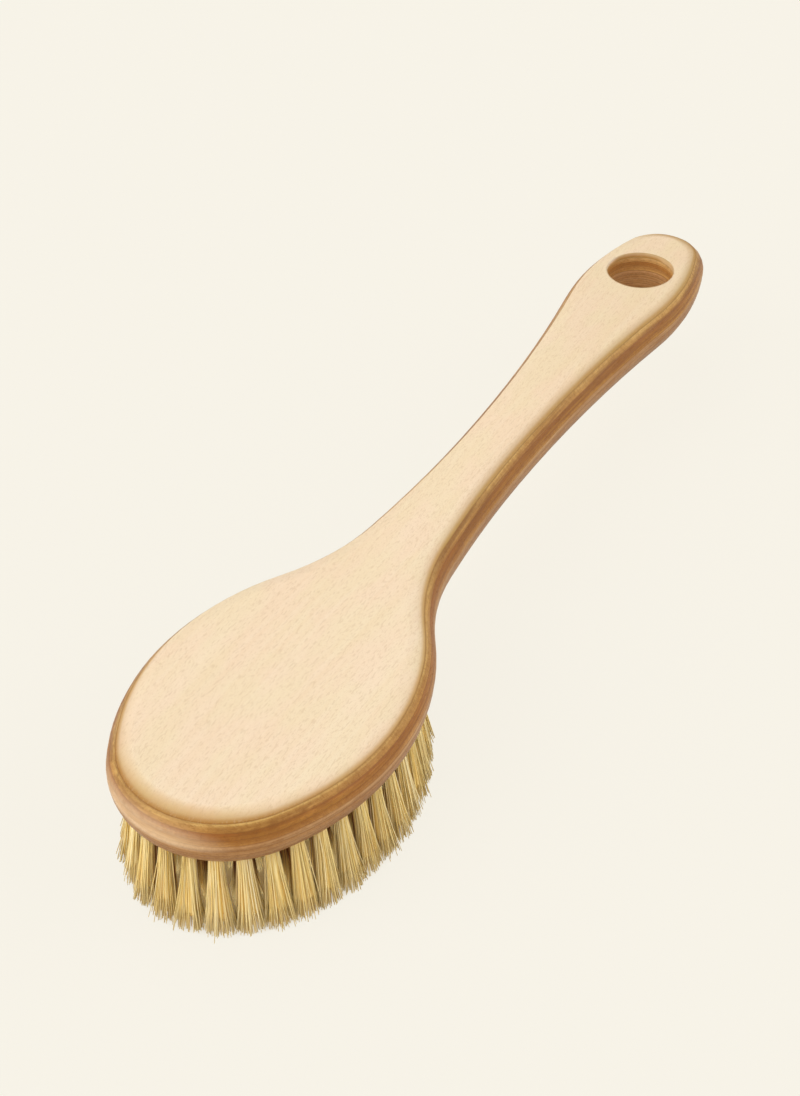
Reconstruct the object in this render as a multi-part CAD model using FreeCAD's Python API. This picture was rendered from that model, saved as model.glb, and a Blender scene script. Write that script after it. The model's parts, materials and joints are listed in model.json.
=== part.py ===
import FreeCAD, Part
import math
import os

# Body dry brush: a one-piece beech plywood paddle with an oval head, a slim handle and a
# hanging hole. Natural bristle tufts stand in drilled holes under the head, and a flat wire
# anchor holds each tuft. Millimetres. X runs along the brush from the head tip to the handle
# end, Z is up, and the origin is under the middle of the length, at the bristle tips.
# Holes and tufts are drawn with six flat sides, which keeps the whole brush light.

Vec = FreeCAD.Vector

# driving dimensions: the paddle's outline
overall_length = 280.0
head_width = 66.5
head_front = 46.2           # from the head tip to the widest station of the head
head_tip_radius = 27.7
head_back_radius = 67.0     # of the head's sides behind the widest station
neck_radius = 62.5
neck_taper = 2.0            # that each side still narrows from the neck's hollow to the waist
waist_station = 154.4       # from the head tip to the narrowest station
waist_width = 20.3
grip_end_length = 34.5      # from the widest station of the handle to its end
grip_end_width = 34.3
grip_end_radius = 13.8

# the laminate
ply_thickness = 1.5
ply_names = [
    "bottom_face_veneer",
    "second_ply",
    "third_ply",
    "fourth_ply",
    "core_ply",
    "sixth_ply",
    "seventh_ply",
    "eighth_ply",
    "top_face_veneer",
]
underside_inset = 3.9       # from the outline to where the underside is flat

# the hanging hole
hanging_hole_diameter = 19.8
hanging_hole_setback = 28.0  # from the handle end to the hole's centre

# the tuft field
bristle_length = 22.8       # from the underside of the head to the trimmed tips
tuft_hole_width = 3.6       # across the corners of a tuft hole
tuft_hole_plies = 3         # veneers that a tuft hole passes through
tuft_clearance = 0.1
tuft_tip_width = 5.2        # across the corners of a tuft at its tips
facets_per_hole = 6
field_inset = 5.6           # from the edge of the head to the outer ring of holes
ring_spacing = 8.4          # between the rings of tufts
row_pitch = 9.5             # between the tufts of the middle row
outer_ring_count = 36
second_ring_count = 17
third_ring_count = 12
middle_row_count = 4
outer_lean = 7.5            # degrees that the outer tufts lean away from the middle
lean_step = 2.0             # degrees less lean for each ring further in

# the wire anchors
anchor_thickness = 0.4
anchor_height = 1.6

# derived sizes
board_thickness = ply_thickness * len(ply_names)
board_bottom = bristle_length
board_top = board_bottom + board_thickness
head_tip_x = -overall_length / 2
handle_end_x = overall_length / 2
head_centre_x = head_tip_x + head_front
waist_x = head_tip_x + waist_station
grip_end_x = handle_end_x - grip_end_length
hole_x = handle_end_x - hanging_hole_setback
tuft_hole_top = board_bottom + tuft_hole_plies * ply_thickness


class Circle:
    """One circle of the outline's chain, with the side of it that the wood lies on."""

    def __init__(self, x, y, radius, convex=True):
        self.centre = Vec(x, y, 0)
        self.radius = radius
        self.convex = convex

    def touch(self, other):
        """Where this circle touches the next one of the chain."""
        along = (other.centre - self.centre).normalize()
        if self.convex == other.convex and self.radius < other.radius:
            along = along * -1
        return self.centre + along * self.radius

    def mirrored(self):
        """The same circle on the other side of the brush's long axis."""
        return Circle(self.centre.x, -self.centre.y, self.radius, self.convex)

    def inset(self, point, depth):
        """A point of the circle moved into the wood, square to the outline."""
        outward = (point - self.centre).normalize() * (1 if self.convex else -1)
        return point - outward * depth

    def arc(self, start, end):
        """The shorter arc of this circle from one point on it to another."""
        bulge = ((start + end) * 0.5 - self.centre).normalize()
        middle = self.centre + bulge * (start - self.centre).Length
        return Part.Arc(start, middle, end).toShape()


def flip(point):
    return Vec(point.x, -point.y, point.z)


def end_rounding(tip_x, tip_radius, widest_x, half_width):
    """The two circles of a rounded end: one at its tip, one touching it at the widest station."""
    tip_centre = tip_x + math.copysign(tip_radius, widest_x - tip_x)
    straight = abs(widest_x - tip_centre)
    side_radius = (straight**2 + half_width**2 - tip_radius**2) / (
        2 * (half_width - tip_radius))
    tip = Circle(tip_centre, 0, tip_radius)
    return tip, Circle(widest_x, half_width - side_radius, side_radius)


def outline_circles():
    """The circles of the outline's upper half, each touching the next, from tip to end."""
    head_half = head_width / 2
    waist_half = waist_width / 2
    grip_half = grip_end_width / 2

    tip, front = end_rounding(head_tip_x, head_tip_radius, head_centre_x, head_half)
    end, grip = end_rounding(handle_end_x, grip_end_radius, grip_end_x, grip_half)
    back = Circle(head_centre_x, head_half - head_back_radius, head_back_radius)

    # the neck's hollow touches the back of the head, and its lowest point is neck_taper
    # outside the waist
    reach = head_back_radius + neck_radius
    rise = waist_half + neck_taper + neck_radius - back.centre.y
    neck = Circle(
        head_centre_x + math.sqrt(reach**2 - rise**2), back.centre.y + rise, neck_radius,
        convex=False)

    # two long hollows meet at the waist: run**2 = drop * (2 * (difference of radii) - drop)
    run = waist_x - neck.centre.x
    front_radius = (run**2 / neck_taper + neck_taper) / 2 + neck_radius
    run = grip_end_x - waist_x
    drop = grip_half - waist_half
    back_radius = (run**2 / drop + drop) / 2 - grip.radius
    waist = [
        Circle(waist_x, waist_half + radius, radius, convex=False)
        for radius in (front_radius, back_radius)
    ]
    return [tip, front, back, neck, *waist, grip, end]


def outline_arcs():
    """The arcs round the whole outline as (circle, start, end)."""
    circles = outline_circles()
    points = [Vec(head_tip_x, 0, 0)]
    points += [a.touch(b) for a, b in zip(circles, circles[1:])]
    points.append(Vec(handle_end_x, 0, 0))
    half = list(zip(circles, points, points[1:]))
    mirrored = [(c.mirrored(), flip(q), flip(p)) for c, p, q in reversed(half)]
    return half + mirrored


def nose_inset(z):
    """How far inside the outline the edge stands: half a circle's top, a flatter ellipse below."""
    half = board_thickness / 2
    rise = (z - board_bottom - half) / half
    deepest = half if rise > 0 else underside_inset
    return deepest * (1 - math.sqrt(max(1 - rise**2, 0)))


def level_face(z, arcs):
    """The board's section at a height."""
    inset = nose_inset(z)
    face = Part.Face(Part.Wire([c.arc(c.inset(p, inset), c.inset(q, inset)) for c, p, q in arcs]))
    face.translate(Vec(0, 0, z))
    return face


def edge_band(low, high, arcs):
    """The outer wall between two heights, one conical patch for each arc of the outline."""
    up = Vec(0, 0, 1)
    patches = []
    for c, p, q in arcs:
        foot = c.inset(p, nose_inset(low)) + up * low
        head = c.inset(p, nose_inset(high)) + up * high
        turn = math.degrees((p - c.centre).getAngle(q - c.centre))
        sense = up * (1 if (p - c.centre).cross(q - c.centre).z > 0 else -1)
        patches.append(Part.makeLine(foot, head).revolve(c.centre, sense, turn))
    return patches


def ply(level, arcs):
    """One veneer, with its share of the rounded edge and of the hanging hole."""
    heights = edge_heights(level)
    faces = [level_face(heights[0], arcs), level_face(heights[-1], arcs)]
    for low, high in zip(heights, heights[1:]):
        faces += edge_band(low, high, arcs)
    bore = Part.makeCylinder(
        hanging_hole_diameter / 2, board_top, Vec(hole_x, 0, 0))
    return Part.Solid(Part.Shell(faces)).cut(bore)


def edge_heights(level):
    """The heights at which a veneer's edge is divided: the top one turns the most."""
    bottom = board_bottom + level * ply_thickness
    top = bottom + ply_thickness
    return [bottom, bottom + ply_thickness / 2, top] if top == board_top else [bottom, top]


def oval(index):
    """The centre line of one ring of tufts, parallel to the head's edge."""
    inset = field_inset + index * ring_spacing
    return Part.Ellipse(
        Vec(head_centre_x, 0, 0), head_front - inset, head_width / 2 - inset)


def ring_places(index, count):
    """Evenly spaced places round one ring, each with its direction away from the field."""
    ring = oval(index)
    places = []
    for k in range(count):
        t = ring.parameterAtDistance(ring.length() * (k + 0.5) / count, 0)
        along = ring.tangent(t)[0]
        places.append((ring.value(t), Vec(along.y, -along.x, 0).normalize()))
    return places


def row_places(count):
    """Evenly spaced places along the middle of the head."""
    first = head_centre_x - row_pitch * (count - 1) / 2
    return [(Vec(first + k * row_pitch, 0, 0), Vec(1, 0, 0)) for k in range(count)]


def polygon(centre, direction, width):
    """A closed regular outline in a level plane, with a flat in the given direction."""
    step = 2 * math.pi / facets_per_hole
    start = math.atan2(direction.y, direction.x) + step / 2
    corners = [
        centre + Vec(math.cos(start + k * step), math.sin(start + k * step), 0) * (width / 2)
        for k in range(facets_per_hole)
    ]
    return Part.makePolygon(corners + corners[:1])


def bundle(sections):
    """A closed solid of flat faces through two level polygons with the same directions."""
    low, high = [[v.Point for v in wire.OrderedVertexes] for wire in sections]
    faces = [Part.Face(wire) for wire in sections]
    for k in range(len(low)):
        j = (k + 1) % len(low)
        faces.append(Part.Face(Part.makePolygon([low[k], low[j], high[j], high[k], low[k]])))
    return Part.Solid(Part.Shell(faces))


def along_hole(point, outward, lean, z):
    """Where a leaning hole's axis is at a height, given its place on the underside."""
    drop = board_bottom - z
    return Vec(point.x, point.y, z) + outward * (drop * math.tan(math.radians(lean)))


def tuft_hole(point, outward, lean):
    """The blind hole for one tuft, run out below the board so that it cuts cleanly."""
    return bundle([
        polygon(along_hole(point, outward, lean, z), outward, tuft_hole_width)
        for z in (board_bottom - ply_thickness, tuft_hole_top)
    ])


def tuft(point, outward, lean):
    """One bristle bundle, from its fold under the anchor out to its spread tips."""
    fold = tuft_hole_top - anchor_height - 2 * tuft_clearance
    mouth_width = tuft_hole_width - 2 * tuft_clearance
    spread = (tuft_tip_width - mouth_width) / bristle_length
    return bundle([
        polygon(along_hole(point, outward, lean, z), outward,
                mouth_width + spread * (board_bottom - z))
        for z in (0, fold)
    ])


def anchor(point, outward, lean):
    """The flat wire that is driven across the hole and holds the fold of the tuft."""
    across = tuft_hole_width * math.cos(math.pi / facets_per_hole) - 2 * tuft_clearance
    bottom = tuft_hole_top - anchor_height - tuft_clearance
    wire = Part.makeBox(
        anchor_thickness, across, anchor_height,
        Vec(-anchor_thickness / 2, -across / 2, 0))
    wire.rotate(Vec(0, 0, 0), Vec(0, 0, 1), math.degrees(math.atan2(outward.y, outward.x)))
    wire.translate(along_hole(point, outward, lean, bottom + anchor_height / 2))
    wire.translate(Vec(0, 0, -anchor_height / 2))
    return wire


def tuft_field():
    """Where every tuft stands: node name, lean, and the places of its ring or row."""
    return [
        ("outer_ring", outer_lean, ring_places(0, outer_ring_count)),
        ("second_ring", outer_lean - lean_step, ring_places(1, second_ring_count)),
        ("third_ring", outer_lean - 2 * lean_step, ring_places(2, third_ring_count)),
        ("middle_row", 0.0, row_places(middle_row_count)),
    ]


os.makedirs("parts", exist_ok=True)
nodes = {}
holes = []
for name, lean, places in tuft_field():
    holes += [tuft_hole(at, outward, lean) for at, outward in places]
    tufts = [tuft(at, outward, lean) for at, outward in places]
    anchors = [anchor(at, outward, lean) for at, outward in places]
    nodes["tufts_" + name] = Part.makeCompound(tufts)
    nodes["anchors_" + name] = Part.makeCompound(anchors)
arcs = outline_arcs()
for level, name in enumerate(ply_names):
    veneer = ply(level, arcs)
    nodes[name] = veneer.cut(holes) if level < tuft_hole_plies else veneer
for name, shape in nodes.items():
    shape.exportStep("parts/" + name + ".step")
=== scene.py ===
import json
import math

import bpy
import numpy as np
from mathutils import Matrix, Vector


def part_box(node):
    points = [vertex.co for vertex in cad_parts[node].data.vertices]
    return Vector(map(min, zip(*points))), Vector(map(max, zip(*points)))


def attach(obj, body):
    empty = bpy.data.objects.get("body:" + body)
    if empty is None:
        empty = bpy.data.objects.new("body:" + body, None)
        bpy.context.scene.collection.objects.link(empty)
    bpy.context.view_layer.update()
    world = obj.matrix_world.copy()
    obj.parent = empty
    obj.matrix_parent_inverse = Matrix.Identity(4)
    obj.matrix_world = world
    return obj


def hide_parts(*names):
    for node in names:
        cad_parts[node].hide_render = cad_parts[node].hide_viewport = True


# Body dry brush: a beech plywood paddle whose tufts of plant fibre stand under an oval head.
# The nine veneers and the wire anchors are the frame's own. The tufts are grown here, by the strand.

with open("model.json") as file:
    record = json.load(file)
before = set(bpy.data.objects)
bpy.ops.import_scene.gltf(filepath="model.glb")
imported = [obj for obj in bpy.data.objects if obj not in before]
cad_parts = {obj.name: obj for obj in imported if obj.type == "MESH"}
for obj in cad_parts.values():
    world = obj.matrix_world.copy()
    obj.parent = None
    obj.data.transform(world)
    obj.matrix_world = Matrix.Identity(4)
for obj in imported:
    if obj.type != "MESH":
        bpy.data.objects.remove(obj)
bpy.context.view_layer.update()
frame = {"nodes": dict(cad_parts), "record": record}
nodes = frame["nodes"]
mm = 0.001

plies = 9
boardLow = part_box("bottom_face_veneer")[0]
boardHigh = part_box("top_face_veneer")[1]
plyStep = (boardHigh.z - boardLow.z) / plies
hangingHole = [m for m in frame["record"]["mounts"] if m["name"] == "hanging_hole"][0]
print("frame loaded, board from", round(boardLow.z, 4), "to", round(boardHigh.z, 4))


# small helpers for node trees

# A colour written as a web code, as the linear values that a socket wants.
def paint(code):
    parts = [int(code[i:i + 2], 16) / 255 for i in (0, 2, 4)]
    return [p / 12.92 if p < 0.04045 else ((p + 0.055) / 1.055) ** 2.4 for p in parts] + [1.0]


def addNode(tree, kind, inputs=None, **settings):
    made = tree.nodes.new(kind)
    for key, value in settings.items():
        setattr(made, key, value)
    for key, value in (inputs or {}).items():
        feed(tree, value, made.inputs[key])
    return made


# Links an output to the socket, or writes a plain value on it.
def feed(tree, value, socket):
    if isinstance(value, bpy.types.NodeSocket):
        tree.links.new(value, socket)
    else:
        socket.default_value = value


def calc(tree, operation, *values, clamp=False):
    made = addNode(tree, "ShaderNodeMath", operation=operation, use_clamp=clamp)
    for socket, value in zip(made.inputs, values):
        feed(tree, value, socket)
    return made.outputs[0]


# All the factors multiplied together.
def product(tree, first, *others):
    for other in others:
        first = calc(tree, "MULTIPLY", first, other)
    return first


def vectorCalc(tree, operation, *values):
    made = addNode(tree, "ShaderNodeVectorMath", operation=operation)
    for socket, value in zip(made.inputs, values):
        feed(tree, value, socket)
    return made.outputs["Value"] if operation in ("LENGTH", "DOT_PRODUCT") else made.outputs["Vector"]


def scaled(tree, vector, by):
    made = addNode(tree, "ShaderNodeVectorMath", {0: vector}, operation="SCALE")
    feed(tree, by, made.inputs["Scale"])
    return made.outputs[0]


def blendColour(tree, share, first, second):
    made = addNode(tree, "ShaderNodeMix", data_type="RGBA")
    for index, value in ((0, share), (6, first), (7, second)):
        feed(tree, value, made.inputs[index])
    return made.outputs[2]


# A colour of three parts that keeps only tint of itself where share is 1.
def tinted(tree, share, colour, tint):
    return vectorCalc(tree, "MULTIPLY", colour, blendColour(tree, share, (1, 1, 1, 1), (*tint, 1)))


# Noise whose cells are as many to the metre as scale says along each axis.
def noise(tree, vector, scale, detail=2.0, roughness=0.5):
    stretched = vectorCalc(tree, "MULTIPLY", vector, scale)
    made = addNode(tree, "ShaderNodeTexNoise", {
        "Vector": stretched, "Scale": 1.0, "Detail": detail, "Roughness": roughness})
    return made.outputs[0]


# 0 below low, 1 above high.
def ramp(tree, value, low, high, smooth=True):
    kind = "SMOOTHSTEP" if smooth else "LINEAR"
    return addNode(tree, "ShaderNodeMapRange", {
        "Value": value, "From Min": low, "From Max": high}, interpolation_type=kind).outputs[0]


# A shader node group with named sockets. Inputs are (name, kind, value).
def newGroup(name, inputs, outputs):
    tree = bpy.data.node_groups.new(name, "ShaderNodeTree")
    for label, kind, value in inputs:
        socket = tree.interface.new_socket(name=label, in_out="INPUT", socket_type="NodeSocket" + kind)
        if value is not None:
            socket.default_value = value
    for label, kind in outputs:
        tree.interface.new_socket(name=label, in_out="OUTPUT", socket_type="NodeSocket" + kind)
    return tree, tree.nodes.new("NodeGroupInput").outputs, tree.nodes.new("NodeGroupOutput").inputs


def useGroup(tree, group, inputs):
    made = tree.nodes.new("ShaderNodeGroup")
    made.node_tree = group
    for key, value in inputs.items():
        feed(tree, value, made.inputs[key])
    return made.outputs


# A material with only its Principled shader and output.
def newMaterial(name):
    material = bpy.data.materials.new(name)
    material.use_nodes = True
    return material, material.node_tree, material.node_tree.nodes["Principled BSDF"]


# Colour, roughness and a bump, whose pair is its depth in metres and its strength.
def feedShader(tree, shader, colour, roughness, height, bump, normal=None):
    feed(tree, colour, shader.inputs["Base Color"])
    feed(tree, roughness, shader.inputs["Roughness"])
    made = addNode(tree, "ShaderNodeBump", {"Height": height, "Distance": bump[0], "Strength": bump[1]})
    if normal is not None:
        feed(tree, normal, made.inputs["Normal"])
    feed(tree, made.outputs[0], shader.inputs["Normal"])


def dress(name, material):
    nodes[name].data.materials.clear()
    nodes[name].data.materials.append(material)


# camera, floor and light

camera = {
    "place": (-0.36062, -0.18727, 0.34119),
    "heading": 60.12,           # degrees from +Y towards +X
    "dip": 39.232,              # degrees below level
    "roll": -0.8416,
    "lens": 64.0,
    "sensor": 36.0,
    "clip": (0.01, 20.0),
}
studio = {
    "backdrop": paint("f7f3e8"),
    "floorPaint": paint("f7f1e5"),
    "floorReach": 4.0,
    "floorSides": 96,
    "floorRoughness": 0.9,
    "floorGlow": 0.92,          # share of the floor's look that shadows leave alone
    "underGlow": 1.0,           # what the floor under the tufts gives back to them
    "glowFrom": (0.86, 1.02),   # where that share starts and is full, in half sizes of the tuft field
    "domeTint": (1.0, 0.99, 0.97, 1.0),
    "domeLevel": 0.60,
    "lamps": {
        # name: (from, power, degrees across, tint)
        "leftSoftbox": ((-0.78, 0.48, 0.40), 1.75, 60.0, (1.0, 0.985, 0.96)),
        "overhead": ((0.12, 0.30, 0.94), 0.26, 40.0, (1.0, 0.99, 0.975)),
        "rightFill": ((0.42, -0.84, 0.40), 1.00, 60.0, (1.0, 0.985, 0.96)),
    },
}


# Columns of the turn are the view's right, its up and its back.
def placeCamera(values):
    heading, dip, roll = [math.radians(values[k]) for k in ("heading", "dip", "roll")]
    level = np.array([math.sin(heading), math.cos(heading), 0.0])
    side = np.array([math.cos(heading), -math.sin(heading), 0.0])
    forward = level * math.cos(dip) - np.array([0, 0, math.sin(dip)])
    rise = level * math.sin(dip) + np.array([0, 0, math.cos(dip)])
    right = side * math.cos(roll) + rise * math.sin(roll)
    up = rise * math.cos(roll) - side * math.sin(roll)
    data = bpy.data.cameras.new("camera")
    data.lens, data.sensor_width = values["lens"], values["sensor"]
    data.clip_start, data.clip_end = values["clip"]
    made = bpy.data.objects.new("camera", data)
    bpy.context.scene.collection.objects.link(made)
    turn = Matrix([list(row) for row in np.column_stack([right, up, -forward])])
    made.matrix_world = Matrix.Translation(values["place"]) @ turn.to_4x4()
    bpy.context.scene.camera = made


# 1 for camera, glossy and transmission rays.
def seenDirectly(tree):
    path = tree.nodes.new("ShaderNodeLightPath").outputs
    either = calc(tree, "MAXIMUM", path["Is Camera Ray"], path["Is Glossy Ray"])
    return calc(tree, "MAXIMUM", either, path["Is Transmission Ray"])


# A level disc: rim points at equal angles round the middle, all as far out.
def layFloor(values):
    reach, sides = values["floorReach"], values["floorSides"]
    angle = np.linspace(0, 2 * np.pi, sides + 1)[:-1]
    rim = np.column_stack([reach * np.cos(angle), reach * np.sin(angle), np.zeros(sides)])
    mesh = bpy.data.meshes.new("floor")
    mesh.from_pydata(rim.tolist(), [], [list(range(sides))])
    floor = bpy.data.objects.new("floor", mesh)
    bpy.context.scene.collection.objects.link(floor)

    # a matt floor, part of it glowing in the backdrop's colour away from the tufts, and open from below
    material, tree, shader = newMaterial("paleFloor")
    shader.inputs["Base Color"].default_value = values["floorPaint"]
    shader.inputs["Roughness"].default_value = values["floorRoughness"]
    shader.inputs["Specular IOR Level"].default_value = 0.0
    place = tree.nodes.new("ShaderNodeTexCoord").outputs["Object"]
    low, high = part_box("tufts_outer_ring")
    middle, half = (low + high) / 2, (high - low) / 2
    fromMiddle = vectorCalc(tree, "SUBTRACT", place, (middle.x, middle.y, 0.0))
    inHalves = vectorCalc(tree, "DIVIDE", fromMiddle, (half.x, half.y, 1.0))
    away = ramp(tree, vectorCalc(tree, "LENGTH", inHalves), *values["glowFrom"])
    share = product(tree, away, values["floorGlow"], seenDirectly(tree))
    bounced = product(tree, tree.nodes.new("ShaderNodeLightPath").outputs["Is Diffuse Ray"],
                      calc(tree, "SUBTRACT", 1.0, away))
    share = calc(tree, "MULTIPLY_ADD", bounced, values["underGlow"], share)
    glow = addNode(tree, "ShaderNodeEmission", {"Color": values["backdrop"], "Strength": 1.0})
    lit = tree.nodes.new("ShaderNodeMixShader")
    tree.links.new(share, lit.inputs[0])
    tree.links.new(shader.outputs[0], lit.inputs[1])
    tree.links.new(glow.outputs[0], lit.inputs[2])
    below = tree.nodes.new("ShaderNodeMixShader")
    tree.links.new(tree.nodes.new("ShaderNodeNewGeometry").outputs["Backfacing"], below.inputs[0])
    tree.links.new(lit.outputs[0], below.inputs[1])
    tree.links.new(tree.nodes.new("ShaderNodeBsdfTransparent").outputs[0], below.inputs[2])
    tree.links.new(below.outputs[0], tree.nodes["Material Output"].inputs["Surface"])
    mesh.materials.append(material)


def lightStudio(values):
    world = bpy.data.worlds.new("studio")
    world.use_nodes = True
    bpy.context.scene.world = world
    tree = world.node_tree
    dome = tree.nodes["Background"]
    dome.inputs["Color"].default_value = values["domeTint"]
    dome.inputs["Strength"].default_value = values["domeLevel"]
    backdrop = addNode(tree, "ShaderNodeBackground", {"Color": values["backdrop"], "Strength": 1.0})
    either = tree.nodes.new("ShaderNodeMixShader")
    tree.links.new(seenDirectly(tree), either.inputs[0])
    tree.links.new(dome.outputs[0], either.inputs[1])
    tree.links.new(backdrop.outputs[0], either.inputs[2])
    tree.links.new(either.outputs[0], tree.nodes["World Output"].inputs["Surface"])

    for name, (source, power, spread, tint) in values["lamps"].items():
        lamp = bpy.data.lights.new(name, "SUN")
        lamp.energy, lamp.angle, lamp.color = power, math.radians(spread), tint
        made = bpy.data.objects.new(name, lamp)
        bpy.context.scene.collection.objects.link(made)
        made.rotation_mode = "QUATERNION"
        made.rotation_quaternion = Vector(source).to_track_quat("Z", "Y")


placeCamera(camera)
layFloor(studio)
lightStudio(studio)
bpy.context.scene.view_settings.view_transform = "Standard"
print("camera, floor and light stand")


# beech veneers

grainLook = {
    "sway": (9, 14, 60),        # cells to the metre along the grain, across it and up
    "swayReach": 0.006,         # twice as far as the grain sways to either side
    "masks": {
        # name: (cells to the metre, detail and roughness of the noise, where it starts and is full)
        "bands": ((5, 70, 110), 4.0, 0.6, 0.3, 0.7),
        "streaks": ((26, 900, 900), 3.0, 0.6, 0.3, 0.7),
        "flecks": ((620, 2500, 2500), 1.0, 0.5, 0.56, 0.68),
        "pores": ((1500, 6500, 6500), 0.0, 0.5, 0.62, 0.76),
    },
    "layers": ((30, 30, 1900), 3.0, 0.65, 0.36, 0.64),
    "roughness": (0.10, 0.12, 0.36),        # what bands and flecks add, and the least
    "height": (0.30, -0.35, -0.65),         # of streaks, flecks and pores
}


# Beech with its grain along X. Broad bands and fine streaks blend the pale wood into the deep
# one, and so do thin level layers where an edge shows them. Short ray flecks darken it, and pores
# and flecks lie a little low.
def makeBeechGrain(values):
    tree, given, out = newGroup("beechGrain", [
        ("Vector", "Vector", None),
        ("Pale", "Color", paint("f2dcb8")),
        ("Deep", "Color", paint("e4c294")),
        ("Fleck", "Color", paint("b08a5c")),
        ("Band Share", "Float", 0.5),
        ("Streak Share", "Float", 0.3),
        ("Fleck Share", "Float", 0.3),
        ("Layer Share", "Float", 0.0),
    ], [("Color", "Color"), ("Roughness", "Float"), ("Height", "Float")])
    sway = calc(tree, "SUBTRACT", noise(tree, given["Vector"], values["sway"], 2.0), 0.5)
    shift = product(tree, sway, values["swayReach"])
    moved = addNode(tree, "ShaderNodeCombineXYZ", {"Y": shift}).outputs[0]
    warped = vectorCalc(tree, "ADD", given["Vector"], moved)
    bands, streaks, flecks, pores = [
        ramp(tree, noise(tree, warped, cells, detail, roughness), start, full)
        for cells, detail, roughness, start, full in values["masks"].values()]
    cells, detail, roughness, start, full = values["layers"]
    layers = ramp(tree, noise(tree, given["Vector"], cells, detail, roughness), start, full)
    deep = calc(tree, "ADD", product(tree, bands, given["Band Share"]),
                product(tree, streaks, given["Streak Share"]))
    deep = calc(tree, "MULTIPLY_ADD", layers, given["Layer Share"], deep, clamp=True)
    wood = blendColour(tree, deep, given["Pale"], given["Deep"])
    marks = product(tree, calc(tree, "MAXIMUM", flecks, pores), given["Fleck Share"])
    feed(tree, blendColour(tree, marks, wood, given["Fleck"]), out["Color"])
    byBands, byFlecks, least = values["roughness"]
    rough = calc(tree, "MULTIPLY_ADD", flecks, byFlecks, least)
    feed(tree, calc(tree, "MULTIPLY_ADD", bands, byBands, rough), out["Roughness"])
    streakHeight, fleckHeight, poreHeight = values["height"]
    low = calc(tree, "MULTIPLY_ADD", flecks, fleckHeight, product(tree, pores, poreHeight))
    feed(tree, calc(tree, "MULTIPLY_ADD", streaks, streakHeight, low), out["Height"])
    return tree


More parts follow.
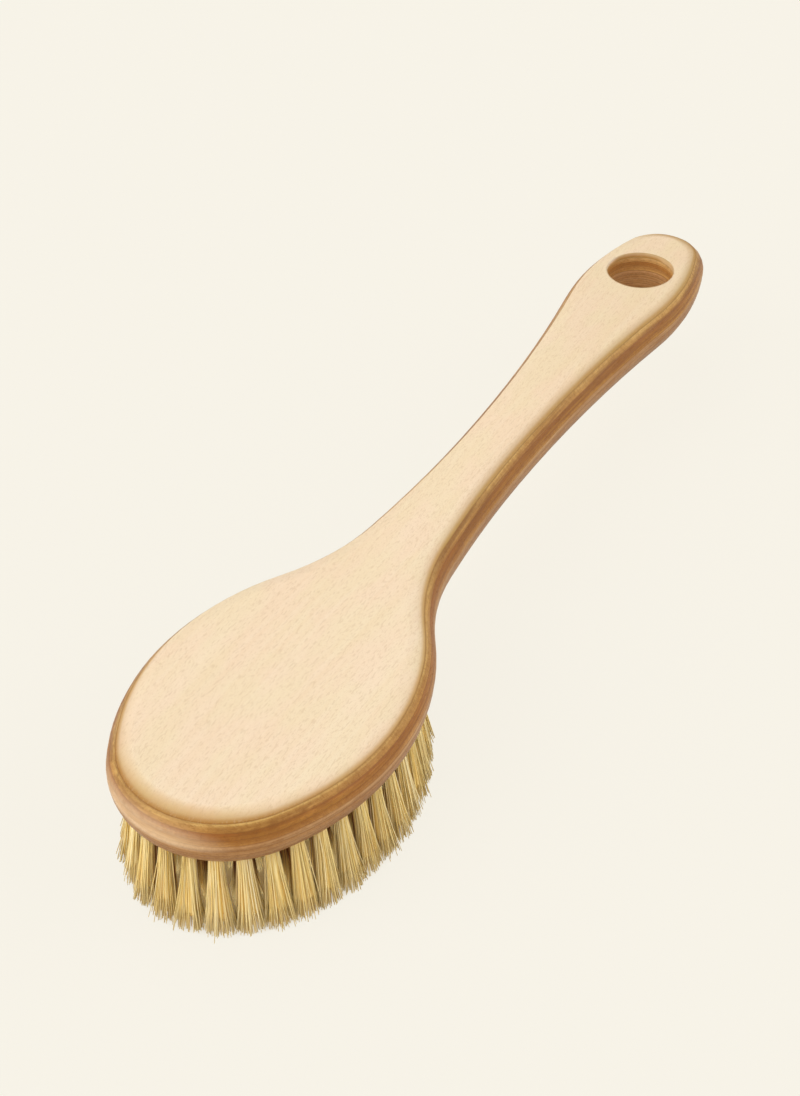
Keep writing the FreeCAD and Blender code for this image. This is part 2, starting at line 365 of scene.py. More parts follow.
# The true normal of the rounded edge from a point's height. With t the height over the middle as
# a share of the half thickness b, and a the depth of the rounding, the normal rises by t a /
# sqrt(t t a a + (1 - t t) b b). Near the rim of the hanging hole the level face's normal turns in
# to the hole and the wall's turns up or down, as on a rim softened with sandpaper.
def makeRoundedEdge():
    tree, given, out = newGroup("roundedEdge", [
        ("Middle", "Float", 0.0),
        ("Half Thickness", "Float", 0.00675),
        ("Lower Depth", "Float", 0.0039),
        ("Hole Place", "Vector", None),
        ("Hole Radius", "Float", 0.0099),
        ("Rim Width", "Float", 0.0004),
    ], [("Normal", "Vector"), ("Facing", "Vector"), ("Edge", "Float"), ("Bore", "Float")])
    place = tree.nodes.new("ShaderNodeTexCoord").outputs
    point = addNode(tree, "ShaderNodeSeparateXYZ", {"Vector": place["Object"]}).outputs
    facing = addNode(tree, "ShaderNodeSeparateXYZ", {"Vector": place["Normal"]}).outputs
    over = calc(tree, "SUBTRACT", point["Z"], given["Middle"])
    share = calc(tree, "DIVIDE", over, given["Half Thickness"])
    t = calc(tree, "MINIMUM", calc(tree, "MAXIMUM", share, -0.998), 0.998)      # just short of level
    upper = calc(tree, "GREATER_THAN", t, 0.0)
    depth = addNode(tree, "ShaderNodeMix", {
        0: upper, 2: given["Lower Depth"], 3: given["Half Thickness"]}, data_type="FLOAT").outputs[0]
    lifted = product(tree, t, depth)
    rest = product(tree, calc(tree, "SQRT", calc(tree, "SUBTRACT", 1.0, product(tree, t, t))),
                   given["Half Thickness"])
    rise = calc(tree, "DIVIDE", lifted, calc(tree, "SQRT", calc(
        tree, "ADD", product(tree, lifted, lifted), product(tree, rest, rest))))
    level = calc(tree, "SQRT", calc(tree, "SUBTRACT", 1.0, product(tree, rise, rise)))
    flat = addNode(tree, "ShaderNodeCombineXYZ", {"X": facing["X"], "Y": facing["Y"]}).outputs[0]
    upward = addNode(tree, "ShaderNodeCombineXYZ", {"Z": rise}).outputs[0]
    rounded = vectorCalc(tree, "ADD", scaled(tree, vectorCalc(tree, "NORMALIZE", flat), level), upward)
    # 0 on the level faces
    tilted = calc(tree, "LESS_THAN", calc(tree, "ABSOLUTE", facing["Z"]), 0.995)

    # near the hanging hole
    spoke = vectorCalc(tree, "SUBTRACT", place["Object"], given["Hole Place"])
    spoke = vectorCalc(tree, "MULTIPLY", spoke, (1, 1, 0))
    fromRim = calc(tree, "SUBTRACT", vectorCalc(tree, "LENGTH", spoke), given["Hole Radius"])
    fromFace = calc(tree, "SUBTRACT", given["Half Thickness"], calc(tree, "ABSOLUTE", over))
    faceRim, wallRim = [
        calc(tree, "SUBTRACT", 1.0, calc(tree, "DIVIDE", away, given["Rim Width"], clamp=True))
        for away in (fromRim, fromFace)]
    inShare = calc(tree, "MAXIMUM", faceRim, tilted)
    upShare = product(tree, calc(tree, "SIGN", over),
                      calc(tree, "MAXIMUM", wallRim, calc(tree, "SUBTRACT", 1.0, tilted)))
    inward = scaled(tree, vectorCalc(tree, "NORMALIZE", spoke), product(tree, inShare, -1.0))
    rim = vectorCalc(tree, "NORMALIZE", vectorCalc(
        tree, "ADD", inward, addNode(tree, "ShaderNodeCombineXYZ", {"Z": upShare}).outputs[0]))
    # the wall lies within a tenth of the rim's width
    reach = product(tree, given["Rim Width"], calc(tree, "MULTIPLY_ADD", tilted, -0.9, 1.0))
    atHole = calc(tree, "LESS_THAN", fromRim, reach)
    edge = product(tree, tilted, calc(tree, "SUBTRACT", 1.0, atHole))
    around = addNode(tree, "ShaderNodeMix", {0: edge, 4: place["Normal"], 5: rounded},
                     data_type="VECTOR").outputs[1]
    facingAll = addNode(tree, "ShaderNodeMix", {0: atHole, 4: around, 5: rim},
                        data_type="VECTOR").outputs[1]
    turned = addNode(tree, "ShaderNodeVectorTransform", {"Vector": facingAll},
                     vector_type="NORMAL", convert_from="OBJECT", convert_to="WORLD")
    feed(tree, turned.outputs[0], out["Normal"])
    feed(tree, facingAll, out["Facing"])
    feed(tree, tilted, out["Edge"])
    feed(tree, product(tree, tilted, atHole), out["Bore"])
    return tree


# 1 in the thin seam between two veneers, fading to 0 a seam's width away from the nearest of the
# evenly stacked joints. The joints wave up and down a little.
def makeGlueLines():
    tree, given, out = newGroup("glueLines", [
        ("Vector", "Vector", None),
        ("Lowest", "Float", 0.0),
        ("Ply", "Float", 0.0015),
        ("Width", "Float", 0.0002),
        ("Wave", "Float", 0.00016),
    ], [("Seam", "Float")])
    height = addNode(tree, "ShaderNodeSeparateXYZ", {"Vector": given["Vector"]}).outputs["Z"]
    # all heights share one wave
    wave = calc(tree, "SUBTRACT", noise(tree, given["Vector"], (90, 90, 0), 2.0), 0.5)
    wavy = calc(tree, "MULTIPLY_ADD", wave, given["Wave"], height)
    count = calc(tree, "DIVIDE", calc(tree, "SUBTRACT", wavy, given["Lowest"]), given["Ply"])
    fromJoint = calc(tree, "ABSOLUTE", calc(tree, "SUBTRACT", count, calc(tree, "ROUND", count)))
    off = product(tree, fromJoint, given["Ply"])
    feed(tree, calc(tree, "SUBTRACT", 1.0, ramp(tree, off, 0.0, given["Width"])), out["Seam"])
    return tree


beechGrain = makeBeechGrain(grainLook)
roundedEdge = makeRoundedEdge()
glueLines = makeGlueLines()

veneers = {
    # node: (grain turn in degrees, colour at its upper side, at its lower side, fleck, band share)
    "top_face_veneer": (0, "f9e3c7", "c89e62", "cfae86", 0.50),
    "eighth_ply": (90, "e0ba70", "c48d3e", "6f4416", 0.40),
    "seventh_ply": (0, "ba7c30", "b67e30", "5c3010", 0.75),
    "sixth_ply": (90, "b07626", "cc9a52", "6e3f1c", 0.55),
    "core_ply": (0, "d0a46f", "b48957", "85522c", 0.40),
    "fourth_ply": (90, "b8874a", "b78952", "6c4420", 0.40),
    "third_ply": (0, "b3854b", "a67843", "6c4420", 0.40),
    "second_ply": (90, "aa7a46", "a07240", "6c4420", 0.40),
    "bottom_face_veneer": (0, "ac7c50", "e2c294", "b18a5e", 0.50),
}
woodKinds = {
    # deep: what a dark band keeps of each colour; end: what the wood keeps where its fibres are cut
    # across, from and to these shares of the normal along the grain
    "face": {
        "deep": (0.965, 0.925, 0.87), "end": (0.71, 0.58, 0.37), "endReach": (0.05, 0.50),
        "streaks": 0.48, "flecks": 0.26, "layers": 0.0, "rougher": 0.22, "specular": 0.22,
    },
    "ply": {
        "deep": (0.66, 0.54, 0.40), "end": (0.97, 0.93, 0.88), "endReach": (0.35, 0.98),
        "streaks": 0.40, "flecks": 0.24, "layers": 0.60, "rougher": 0.0, "specular": 0.31,
    },
}
# Heights here are metres over the board's underside, and pairs are where a ramp starts and is full.
finish = {
    "lowerDepth": 0.0039,                # of the rounding under the middle
    "rimWidth": 0.0004,                  # of the softened rim of the hanging hole
    "driftTints": ((1.0, 0.99, 0.985), (0.985, 1.01, 0.96)),     # wide tints across the level faces
    "driftCells": (60, 110, 110),
    "driftReach": (0.35, 0.65),
    "neck": (-0.07, 0.0),                # in X, where head turns into handle
    "grip": (0.0, 0.11),                 # and where the top pales towards the handle's end
    "gripEnd": (0.05, 0.11),             # and where the handle's end shows end grain
    # share of its own height where the top veneer starts to pale on the handle, with 0 on the head,
    # then the share where it is fully pale on the head, and how much later it is on the handle
    "paleStart": 0.14,
    "paleEnd": (0.70, 0.18),
    "farSide": (0.1, 0.6),               # how far to +Y a rim faces that stays pale
    "farHead": (-0.11, -0.06),           # in X
    "handleVeneer": (0.88, 0.88, 0.84),  # what the lower side of the top veneer keeps on the handle
    "handleTop": (0.94, 0.93, 0.90),     # and its upper side towards the handle's end
    "handlePly": (0.98, 0.98, 0.62),     # and what the two plies below the next keep there
    "boreWood": paint("ab8050"),         # colour of the freshly cut hole, mixed into each veneer's
    "boreShare": 0.6,
    "boreHeight": (0.0107, 0.0127),
    "boreLightHigh": (1.62, 1.95, 2.65),      # painted light that lightens that colour above these heights
    "boreLightLow": (1.5, 1.66, 1.9),         # and below
    "seam": paint("74461f"),
    "seamShare": 0.45,
    "seamWidth": 0.00018,
    "seamHeight": (0.0131, 0.0127),      # none at the very top
    "bump": (0.00012, 0.5),
}
soaked = {
    "paint": paint("7e4c12"),
    "most": 0.72,
    "elsewhere": 0.26,                   # share of that on the head's right side and nose
    "way": (-0.67, -0.74, 0.0),          # where the nose has most
    "wayReach": (0.88, 0.99),
    "nose": (-0.05, -0.09),              # in X
    "more": 0.07,                        # added to the noise there, which makes larger patches
    "headCells": (130, 130, 640),
    "handleCells": (22, 90, 560),
    "handle": (-0.06, -0.02),            # in X, where the long patches take over
    "patch": (0.40, 0.64),
    "farSide": (0.0, 0.5),
    "full": (-0.07, -0.03),              # in X, where the handle has all of them
    "height": (0.0077, 0.0107),
    "noseTop": (0.0110, 0.0118),
}
# Painted sheen on the left of the nose, standing in for a lamp's reflection in the satin edge.
paintedSheen = {
    "paint": paint("fadcb4"),
    "most": 0.42,
    "way": (-0.97, 0.24, 0.0),
    "wayReach": (0.62, 0.97),
    "nose": (-0.04, -0.08),              # in X
    "height": (0.0050, 0.0066),
    "top": (0.0120, 0.0096),
    "cells": (60, 900, 900),
    "patchy": (0.9, 0.55),
}


# The pale top veneer gets darker down its rounded side. On the handle that starts lower and the
# veneer is a little darker, and the far side of the handle and of the head's back stays pale.
def shadeTopVeneer(tree, point, facing, level, lower, upper, values):
    onHandle = ramp(tree, point["X"], *values["neck"])
    start = product(tree, onHandle, values["paleStart"])
    end = calc(tree, "MULTIPLY_ADD", onHandle, values["paleEnd"][1], values["paleEnd"][0])
    away = product(tree, ramp(tree, facing["Y"], *values["farSide"]),
                   ramp(tree, point["X"], *values["farHead"]))
    level = ramp(tree, calc(tree, "ADD", level, away), start, end)
    lower = tinted(tree, onHandle, lower[:3], values["handleVeneer"])
    upper = tinted(tree, ramp(tree, point["X"], *values["grip"]), upper[:3], values["handleTop"])
    return blendColour(tree, level, lower, upper)


# Darker patches where glue has soaked into the edges: noise over a threshold, in long thin cells.
# The nose has large ones on its right, the rest of the head's right side has faint ones, and the
# far side and the handle have them all over.
def soakEdge(tree, wood, place, point, facing, edge, up, values):
    sideways = vectorCalc(tree, "NORMALIZE", vectorCalc(tree, "MULTIPLY", edge["Facing"], (1, 1, 0)))
    towards = vectorCalc(tree, "DOT_PRODUCT", sideways, values["way"])
    worst = product(tree, ramp(tree, towards, *values["wayReach"]),
                    ramp(tree, point["X"], *values["nose"]))
    patches = blendColour(tree, ramp(tree, point["X"], *values["handle"]),
                          noise(tree, place["Object"], values["headCells"], 3.0, 0.65),
                          noise(tree, place["Object"], values["handleCells"], 3.0, 0.6))
    patches = ramp(tree, calc(tree, "MULTIPLY_ADD", worst, values["more"], patches), *values["patch"])
    everywhere = calc(tree, "MAXIMUM", ramp(tree, facing["Y"], *values["farSide"]),
                      ramp(tree, point["X"], *values["full"]))
    where = calc(tree, "MAXIMUM", worst, everywhere)
    where = calc(tree, "MULTIPLY_ADD", where, 1 - values["elsewhere"], values["elsewhere"])
    belowTop = calc(tree, "SUBTRACT", 1.0, product(tree, worst, ramp(tree, up, *values["noseTop"])))
    outside = calc(tree, "SUBTRACT", 1.0, edge["Bore"])
    share = product(tree, patches, values["most"], where, ramp(tree, up, *values["height"]),
                    outside, belowTop)
    return blendColour(tree, share, wood, values["paint"])


# Painted sheen: halfway up the edge on the left of the nose, paler patches stand in for a lamp's
# reflection.
def paintSheen(tree, wood, turned, point, edge, up, values):
    towards = vectorCalc(tree, "DOT_PRODUCT", edge["Facing"], values["way"])
    patchy = calc(tree, "MULTIPLY_ADD", noise(tree, turned, values["cells"], 3.0), *values["patchy"])
    share = product(
        tree, ramp(tree, towards, *values["wayReach"]), ramp(tree, point["X"], *values["nose"]),
        ramp(tree, up, *values["height"]), ramp(tree, up, *values["top"]), patchy, values["most"])
    return blendColour(tree, share, wood, values["paint"])


# Grain in the veneer's own colours. Where the surface cuts the fibres across, which is the share
# of its normal that lies along the grain, it is darker. Thin dark glue seams part the veneers, and
# the wall of the hanging hole is fresher wood, with painted light on it that makes it lighter.
def dressVeneer(name, look):
    turn, upperPaint, lowerPaint, fleck, bandShare = look
    low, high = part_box(name)
    faceVeneer = "face_veneer" in name
    kind = woodKinds["face" if faceVeneer else "ply"]
    material, tree, shader = newMaterial(name + "_beech")
    place = tree.nodes.new("ShaderNodeTexCoord").outputs
    turned = addNode(tree, "ShaderNodeMapping", {
        "Vector": place["Object"], "Location": (low.z * 37, low.z * 11, 0.0),   # each veneer's own grain
        "Rotation": (0.0, 0.0, math.radians(turn))}).outputs[0]
    edge = useGroup(tree, roundedEdge, {
        "Middle": (boardLow.z + boardHigh.z) / 2,
        "Half Thickness": (boardHigh.z - boardLow.z) / 2,
        "Lower Depth": finish["lowerDepth"],
        "Hole Place": hangingHole["pos_m"],
        "Hole Radius": hangingHole["dims"]["r_mm"] * mm,
        "Rim Width": finish["rimWidth"],
    })
    point = addNode(tree, "ShaderNodeSeparateXYZ", {"Vector": place["Object"]}).outputs
    facing = addNode(tree, "ShaderNodeSeparateXYZ", {"Vector": edge["Facing"]}).outputs
    up = calc(tree, "SUBTRACT", point["Z"], boardLow.z)
    level = ramp(tree, point["Z"], low.z, high.z, smooth=False)

    # the veneer's own colour, from its lower side to its upper one
    lower, upper = paint(lowerPaint), paint(upperPaint)
    if name == "top_face_veneer":
        own = shadeTopVeneer(tree, point, facing, level, lower, upper, finish)
    else:
        own = blendColour(tree, level, lower, upper)
    if name in ("sixth_ply", "seventh_ply"):
        own = tinted(tree, ramp(tree, point["X"], *finish["neck"]), own, finish["handlePly"])
    # painted light: the hole's wall is lightened beyond its wood's colour, most near the top
    boreLight = blendColour(tree, ramp(tree, up, *finish["boreHeight"]),
                       (*finish["boreLightLow"], 1), (*finish["boreLightHigh"], 1))
    fresh = blendColour(tree, finish["boreShare"], own, finish["boreWood"])
    own = blendColour(tree, edge["Bore"], own, vectorCalc(tree, "MULTIPLY", fresh, boreLight))

    # end grain: on the nose and the handle's end along X, or on both sides along Y
    if turn == 0:
        backward = product(tree, facing["X"], ramp(tree, point["X"], *finish["gripEnd"]))
        across = calc(tree, "MAXIMUM", product(tree, facing["X"], -1.0), backward)
    else:
        across = calc(tree, "ABSOLUTE", facing["Y"])
    pale = blendColour(tree, ramp(tree, across, *kind["endReach"]), own,
                       vectorCalc(tree, "MULTIPLY", own, kind["end"]))
    if faceVeneer:
        drift = ramp(tree, noise(tree, turned, finish["driftCells"]), *finish["driftReach"])
        pinker, yellower = [vectorCalc(tree, "MULTIPLY", pale, tint) for tint in finish["driftTints"]]
        pale = blendColour(tree, drift, pinker, yellower)
    grain = useGroup(tree, beechGrain, {
        "Vector": turned,
        "Pale": pale,
        "Deep": vectorCalc(tree, "MULTIPLY", pale, kind["deep"]),
        "Fleck": paint(fleck),
        "Band Share": bandShare,
        "Streak Share": kind["streaks"],
        "Fleck Share": kind["flecks"],
        "Layer Share": kind["layers"],
    })
    seam = useGroup(tree, glueLines, {
        "Vector": place["Object"],
        "Lowest": boardLow.z,
        "Ply": plyStep,
        "Width": finish["seamWidth"],
    })["Seam"]
    seamShare = product(tree, seam, ramp(tree, up, *finish["seamHeight"]), edge["Edge"],
                        finish["seamShare"])
    wood = blendColour(tree, seamShare, grain["Color"], finish["seam"])
    if not faceVeneer:
        wood = soakEdge(tree, wood, place, point, facing, edge, up, soaked)
    # painted sheen on the left of the nose
    wood = paintSheen(tree, wood, turned, point, edge, up, paintedSheen)
    rough = calc(tree, "ADD", grain["Roughness"], kind["rougher"])
    feedShader(tree, shader, wood, rough, grain["Height"], finish["bump"], edge["Normal"])
    shader.inputs["Specular IOR Level"].default_value = kind["specular"]
    dress(name, material)


for veneer, look in veneers.items():
    dressVeneer(veneer, look)
print("nine veneers dressed")


# wire anchors

wire = {
    "lineCells": (3000, 3000, 12000),
    "spotCells": (700, 700, 700),
    "spotReach": (0.55, 0.75),
    "paints": (paint("a9abab"), paint("c9c9c6")),
    "spotPaint": paint("6f6a62"),
    "spotShare": 0.4,
    "roughness": (0.2, 0.28),   # what the lines add, and the least
    "bump": (0.00003, 0.4),
}


# Dull flat steel wire, with drawn lines along it and a few darker spots.
def dressAnchors(names, values):
    material, tree, shader = newMaterial("drawnWire")
    place = tree.nodes.new("ShaderNodeTexCoord").outputs["Object"]
    lines = noise(tree, place, values["lineCells"])
    spots = ramp(tree, noise(tree, place, values["spotCells"], 3.0), *values["spotReach"])
    steel = blendColour(tree, lines, *values["paints"])
    spotted = blendColour(tree, product(tree, spots, values["spotShare"]), steel, values["spotPaint"])
    rough = calc(tree, "MULTIPLY_ADD", lines, *values["roughness"])
    feedShader(tree, shader, spotted, rough, lines, values["bump"])
    shader.inputs["Metallic"].default_value = 1.0
    for name in names:
        dress(name, material)


dressAnchors([n for n in nodes if n.startswith("anchors_")], wire)
print("anchors dressed")


# bristle tufts

field = {
    "centreX": -0.0938,
    "lengthHalf": 0.0462,       # half the head's length, from which the rings are set in
    "widthHalf": 0.03325,       # and half its width
    "inset": 0.0056,            # of the outer ring
    "ringStep": 0.0084,         # and of each further one from that
    "rowPitch": 0.0095,         # of the middle row
    "divisions": 20000,         # of the ellipse whose length is measured
}
tuftRings = {
    # node: (ring number, tufts, lean in degrees)
    "tufts_outer_ring": (0, 36, 7.5),
    "tufts_second_ring": (1, 17, 5.5),
    "tufts_third_ring": (2, 12, 3.5),
    "tufts_middle_row": (None, 4, 0.0),
}
strand = {
    "perTuft": 190,
    "sides": 3,
    "coreColumns": 30,
    "coreShare": 0.86,          # of the bundle's radius
    "radius": 0.00014,
    "tipRadius": 0.00010,
    "thick": (0.8, 1.2),        # least and most of that from strand to strand
    "mouth": 0.00150,           # radius of the bundle where it leaves its hole
    "tipsAlong": 0.0037,        # radius of the bundle at its tips, along its ring
    "tipsOut": 0.0027,          # and across it
    "rootAbove": 0.0038,        # how far it goes up into its hole
    "crowding": 0.36,           # 0.5 spreads strands evenly, less sets more of them at the outside
    "stray": 0.00038,           # how far tips wander from their place
    "wild": (0.07, 2.2),        # share of strands that wander more, and how much more
    "bend": 0.0004,
    "flare": 1.7,               # power of the run by which a bundle widens
    "drift": 1.6,               # and by which a strand or a whole tuft wanders
    "short": (0.0002, 0.00035, 0.003),      # least, random mean and most that a strand is short by
    "tuftShift": 0.0003,
    "tuftTone": 0.035,
    "tone": (4.2, 6.0),         # spread of the strands' tones, as the two numbers of a beta curve
    "coreTone": (2.2, 3.0, 0.1),            # the same for the cores, and how much darker they are
    "deep": (0.92, 0.35),       # reach inside which strands get painted bounce light, and over how much of it
    "inner": (0.15, 1.2),       # shade of an outer tuft's middle, and its change to the outside
    "sections": (-0.16, 0.0, 0.35, 0.7, 1.0),
    "coreRuns": (-0.16, 0.0, 0.2, 0.4, 0.6, 0.76, 0.84, 0.88),
    "coreWidths": (1, 1, 1, 1, 1, 0.9, 0.55, 0.02),
    "coreLumps": 0.05,
}


# Points at equal distances along an ellipse, half a step on from its +X end, with the outward
# normals. Arc length is summed over a fine division of the ellipse.
def ringPlaces(number, count, values):
    if number is None:
        x = values["centreX"] + values["rowPitch"] * (np.arange(count) - (count - 1) / 2)
        return np.column_stack([x, np.zeros(count)]), np.tile([1.0, 0.0], (count, 1))
    inset = values["inset"] + number * values["ringStep"]
    a, b = values["lengthHalf"] - inset, values["widthHalf"] - inset
    angle = np.linspace(0, 2 * np.pi, values["divisions"] + 1)
    steps = np.hypot(np.diff(a * np.cos(angle)), np.diff(b * np.sin(angle)))
    run = np.concatenate([[0.0], np.cumsum(steps)])
    t = np.interp(run[-1] * (np.arange(count) + 0.5) / count, run, angle)
    place = np.column_stack([values["centreX"] + a * np.cos(t), b * np.sin(t)])
    normal = np.column_stack([b * np.cos(t), a * np.sin(t)])
    return place, normal / np.linalg.norm(normal, axis=1)[:, None]


# Corners and sizes of the faces of many closed tubes. Their points are counted tube by tube, ring by
# ring down the tube, and round each ring. A quad joins each side of a ring to the ring below it, and
# the first and last rings are faces themselves.
def tubeFaces(count, rows, columns, first):
    index = np.arange(first, first + count * rows * columns).reshape(count, rows, columns)
    beside = np.roll(index, -1, axis=2)
    quads = np.stack([index[:, :-1], index[:, 1:], beside[:, 1:], beside[:, :-1]], axis=-1)
    corners = np.concatenate([quads.ravel(), index[:, 0, :].ravel(), index[:, -1, ::-1].ravel()])
    sizes = np.concatenate([np.full(quads.size // 4, 4), np.full(2 * count, columns)])
    return corners, sizes


# One mesh from several sets of tubes. Each set has points shaped (tubes, rows, columns, 3), and its
# named values one to a point, or one to a row or a tube.
def tubeMesh(name, tubeSets):
    corners, sizes, first = [], [], 0
    for points, values in tubeSets:
        setCorners, setSizes = tubeFaces(*points.shape[:3], first)
        corners.append(setCorners)
        sizes.append(setSizes)
        first += points.size // 3
    corners, sizes = np.concatenate(corners), np.concatenate(sizes)
    mesh = bpy.data.meshes.new(name)
    mesh.vertices.add(first)
    allPoints = np.concatenate([points.reshape(-1, 3) for points, values in tubeSets])
    mesh.vertices.foreach_set("co", allPoints.astype(np.float32).ravel())
    mesh.loops.add(len(corners))
    mesh.loops.foreach_set("vertex_index", corners.astype(np.int32))
    mesh.polygons.add(len(sizes))
    starts = np.concatenate([[0], np.cumsum(sizes)[:-1]])
    mesh.polygons.foreach_set("loop_start", starts.astype(np.int32))
    mesh.polygons.foreach_set("use_smooth", np.ones(len(sizes), bool))
    for label in tubeSets[0][1]:
        layer = mesh.attributes.new(label, "FLOAT", "POINT")
        spread = [np.broadcast_to(values[label], points.shape[:3]).ravel() for points, values in tubeSets]
        layer.data.foreach_set("value", np.concatenate(spread).astype(np.float32))
    mesh.update(calc_edges=True)
    mesh.validate()
    return mesh


# One ring of tufts. A strand starts at a random point of its hole's mouth and ends at the same point
# of the wider tip ellipse, shifted by chance. Between them its distance from the leaning axis grows
# with a power of the run, and a random bow adds to it. The middle of each tuft is one solid
# core of the same form, a little narrower, with the tones of strands in columns round it, and its
# radius falls to nothing near the tips.
def growTufts(name, ring, values, seed):
    number, tufts, lean = ring
    place, outward = ringPlaces(number, tufts, field)
    across = np.column_stack([-outward[:, 1], outward[:, 0]])
    rng = np.random.default_rng(seed)
    strands = values["perTuft"]
    tuftShift = rng.normal(0, values["tuftShift"], (tufts, 2))
    tuftTone = rng.normal(0, values["tuftTone"], tufts)

    def bundle(own, s, spoke, length):
        # centres at runs s: own is each line's tuft, spoke its place in the bundle from -1 to 1
        held = np.clip(s, 0, 1)
        wide = held ** values["flare"]
        out = values["mouth"] + (values["tipsOut"] - values["mouth"]) * wide
        side = values["mouth"] + (values["tipsAlong"] - values["mouth"]) * wide
        drop = np.where(s < 0, s / abs(values["sections"][0]) * values["rootAbove"], length * held)
        level = outward[own] * (np.tan(math.radians(lean)) * drop + spoke[..., :1] * out)
        level = level + across[own] * (spoke[..., 1:] * side) + tuftShift[own] * held ** values["drift"]
        level = place[own] + level
        height = np.broadcast_to(boardLow.z - drop, level.shape[:-1] + (1,))
        return np.concatenate([level, height], axis=-1)

    # the strands
    total = tufts * strands
    s = np.array(values["sections"])[None, :, None]
    own = np.repeat(np.arange(tufts), strands)[:, None]
    angle = rng.uniform(0, 2 * np.pi, total)
    reach = rng.uniform(0, 1, total) ** values["crowding"]
    spoke = (np.column_stack([np.cos(angle), np.sin(angle)]) * reach[:, None])[:, None, :]
    least, mean, most = values["short"]
    short = np.minimum(rng.exponential(mean, total) + least, most)[:, None, None]
    centres = bundle(own, s, spoke, boardLow.z - short)
    held = np.clip(s, 0, 1)
    wildShare, wildTimes = values["wild"]
    wild = np.where(rng.uniform(0, 1, total) > 1 - wildShare, wildTimes, 1.0)
    stray = (rng.normal(0, values["stray"], (total, 2)) * wild[:, None])[:, None, :]
    bow = rng.normal(0, values["bend"], (total, 2))[:, None, :]
    centres[..., :2] += stray * held ** values["drift"] + bow * held * (1 - held) * 2
    thick = rng.uniform(*values["thick"], total)[:, None, None, None]
    taper = values["radius"] + (values["tipRadius"] - values["radius"]) * held ** 2
    sides = values["sides"]
    start = rng.uniform(0, 2 * np.pi, total)[:, None] + np.arange(sides)[None, :] * 2 * np.pi / sides
    rim = np.stack([np.cos(start), np.sin(start), np.zeros_like(start)], axis=-1)[:, None, :, :]
    strandPoints = centres[:, :, None, :] + thick * taper[..., None] * rim
    tone = np.clip(rng.beta(*values["tone"], total) + tuftTone[own[:, 0]], 0, 1)
    # painted light: a golden tint on strands deep in the tuft stands in for light bounced between fibres
    deep = np.clip((values["deep"][0] - reach) / values["deep"][1], 0, 1)
    innerMiddle, innerChange = values["inner"] if number == 0 else (1.0, 0.0)
    inner = np.clip(innerMiddle - innerChange * spoke[:, 0, 0], 0, 1)

    # the cores
    columns = values["coreColumns"]
    runs = np.array(values["coreRuns"])
    share = values["coreShare"] * np.array(values["coreWidths"])
    turn = np.arange(columns) * 2 * np.pi / columns
    lumps = rng.normal(1, values["coreLumps"], (tufts, 1, columns, 1))
    coreSpoke = np.column_stack([np.cos(turn), np.sin(turn)])[None, None]
    coreSpoke = coreSpoke * share[None, :, None, None] * lumps
    coreOwn = np.arange(tufts)[:, None, None]
    corePoints = bundle(coreOwn, runs[None, :, None, None], coreSpoke, boardLow.z)
    first, second, darker = values["coreTone"]
    coreTone = rng.beta(first, second, (tufts, 1, columns)) + darker + tuftTone[:, None, None]
    coreInner = np.clip(innerMiddle - innerChange * coreSpoke[..., 0], 0, 1)

    mesh = tubeMesh(name.replace("tufts", "bristles"), [
        (strandPoints, {
            "strandTone": tone[:, None, None],
            "strandRun": held,
            "strandInner": inner[:, None, None],
            "strandBounceTint": deep[:, None, None],
        }),
        (corePoints, {
            "strandTone": np.clip(coreTone, 0, 1),
            "strandRun": np.clip(runs, 0, 1)[None, :, None],
            "strandInner": coreInner,
            "strandBounceTint": np.ones(1),
        }),
    ])
    made = bpy.data.objects.new(mesh.name, mesh)
    bpy.context.scene.collection.objects.link(made)
    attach(made, "root")
    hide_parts(name)
    return made


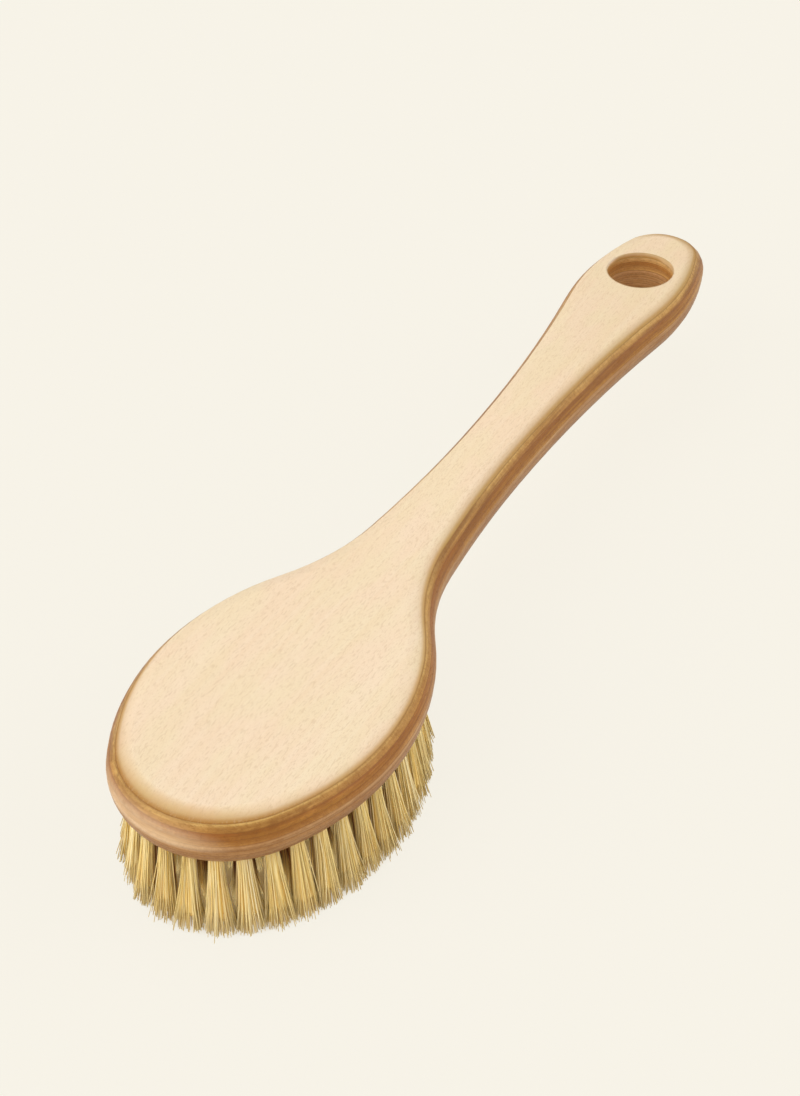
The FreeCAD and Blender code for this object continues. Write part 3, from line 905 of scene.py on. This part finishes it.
fibreLook = {
    # tone: colour
    "tones": {0.0: "faebc2", 0.35: "fae5a8", 0.62: "f3d98e", 0.85: "e0b85e", 1.0: "bc8230"},
    "mottleCells": (2600, 2600, 420),
    "mottle": 0.35,             # how much it shifts the tone
    "layers": [
        # (colour, share, run where it starts, run where it is full, attribute that limits it)
        ("bf8a40", 0.25, 0.25, 0.0, None),              # the root, darker as painted shade under the head
        ("843808", 0.96, 0.85, 0.45, "strandInner"),    # the shaded side towards the field's middle
        ("f3e6c8", 0.20, 0.70, 1.0, None),              # the tip
        ("f8d27c", 0.50, 0.15, 0.50, "strandBounceTint"),     # painted warm light bounced between fibres inside the tuft
    ],
    "roughness": (0.2, 0.5),    # what the mottling adds, and the least
    "specular": 0.06,
    "bump": (0.00004, 0.4),
}


# Each strand has its own tone, from cream through straw to brown, with fine lengthwise mottling.
# Layers of other colours lie over that by the run along the strand, from 0 at its root to 1. Some
# are painted light: shade at the root and on the side towards the field's middle, and warm light
# bounced between fibres inside the tuft.
def makeFibre(values):
    material, tree, shader = newMaterial("plantFibre")
    tone, run = [addNode(tree, "ShaderNodeAttribute", attribute_name=label).outputs["Fac"]
                 for label in ("strandTone", "strandRun")]
    place = tree.nodes.new("ShaderNodeTexCoord").outputs["Object"]
    mottle = noise(tree, place, values["mottleCells"], 3.0, 0.6)
    shift = product(tree, calc(tree, "SUBTRACT", mottle, 0.5), values["mottle"])
    colours = addNode(tree, "ShaderNodeValToRGB", {"Fac": calc(tree, "ADD", tone, shift, clamp=True)})
    band = colours.color_ramp
    band.elements[0].color, band.elements[1].color = [paint(values["tones"][end]) for end in (0.0, 1.0)]
    for at, code in values["tones"].items():
        if 0 < at < 1:
            band.elements.new(at).color = paint(code)
    look = colours.outputs[0]
    for code, most, start, full, limit in values["layers"]:
        share = product(tree, ramp(tree, run, start, full), most)
        if limit:
            share = product(tree, share, addNode(
                tree, "ShaderNodeAttribute", attribute_name=limit).outputs["Fac"])
        look = blendColour(tree, share, look, paint(code))
    rough = calc(tree, "MULTIPLY_ADD", mottle, *values["roughness"])
    feedShader(tree, shader, look, rough, mottle, values["bump"])
    shader.inputs["Specular IOR Level"].default_value = values["specular"]
    return material


fibre = makeFibre(fibreLook)
for seed, (name, ring) in enumerate(tuftRings.items()):
    bristles = growTufts(name, ring, strand, 11 + seed)
    bristles.data.materials.append(fibre)
    print(bristles.name, len(bristles.data.polygons), "faces")
